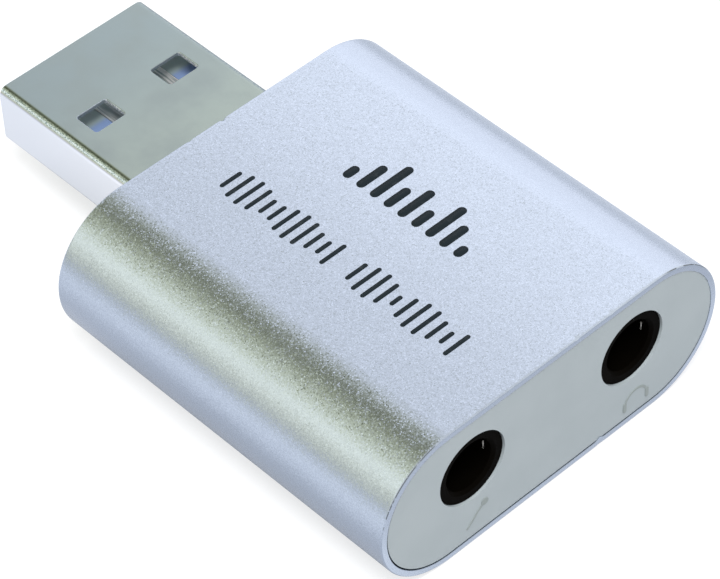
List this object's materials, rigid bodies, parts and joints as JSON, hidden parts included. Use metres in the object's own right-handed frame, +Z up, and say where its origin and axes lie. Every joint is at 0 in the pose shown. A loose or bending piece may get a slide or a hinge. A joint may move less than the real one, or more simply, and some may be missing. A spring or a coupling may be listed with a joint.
{
  "type": "usb sound card",
  "caption": "USB audio adapter: flat-oval aluminium sleeve with white end caps, a USB-A plug at one end, and microphone and headphone jacks at the other.",
  "frame": {"origin": "middle of the whole object's length and width, on the plane of the sleeve's flat underside", "axes": "+Y out of the USB plug, away from the jacks; +Z up through the printed face; +X to the right when looking at the jacks"},
  "size_m": [0.0276, 0.0428, 0.0107],
  "materials": {
    "anodised_aluminium": "bead-blasted and clear anodised, satin",
    "cap_plastic": "smooth moulded, near-white",
    "board_laminate": "green solder resist",
    "nickel_steel": "nickel-plated sheet, satin",
    "tongue_plastic": "blue moulded plastic",
    "gold_plate": "thin gold plating",
    "jack_plastic": "black moulded plastic",
    "spring_alloy": "tinned copper alloy",
    "chip_epoxy": "black moulding compound",
    "tinned_lead": "tinned",
    "can_metal": "drawn can, satin",
    "base_plastic": "black moulded plastic",
    "resistor_body": "glazed film on ceramic",
    "capacitor_body": "fired ceramic"
  },
  "bodies": {
    "root": {"shell": "anodised_aluminium", "front_cap": "cap_plastic", "rear_cap": "cap_plastic", "board": "board_laminate", "usb_shield": "nickel_steel", "usb_tongue": "tongue_plastic", "usb_contact_1": "gold_plate", "usb_contact_2": "gold_plate", "usb_contact_3": "gold_plate", "usb_contact_4": "gold_plate", "mic_jack": "jack_plastic", "headphone_jack": "jack_plastic", "mic_sleeve_spring": "spring_alloy", "mic_ring_spring": "spring_alloy", "mic_tip_spring": "spring_alloy", "headphone_sleeve_spring": "spring_alloy", "headphone_ring_spring": "spring_alloy", "headphone_tip_spring": "spring_alloy", "codec_chip": "chip_epoxy", "codec_leads": "tinned_lead", "crystal_base": "capacitor_body", "crystal_lid": "can_metal", "capacitor_can_1": "can_metal", "capacitor_can_2": "can_metal", "capacitor_base_1": "base_plastic", "capacitor_base_2": "base_plastic", "resistor_1": "resistor_body", "resistor_2": "resistor_body", "resistor_3": "resistor_body", "resistor_4": "resistor_body", "chip_capacitor_1": "capacitor_body", "chip_capacitor_2": "capacitor_body", "chip_capacitor_3": "capacitor_body", "chip_capacitor_4": "capacitor_body"}
  },
  "joints": []
}
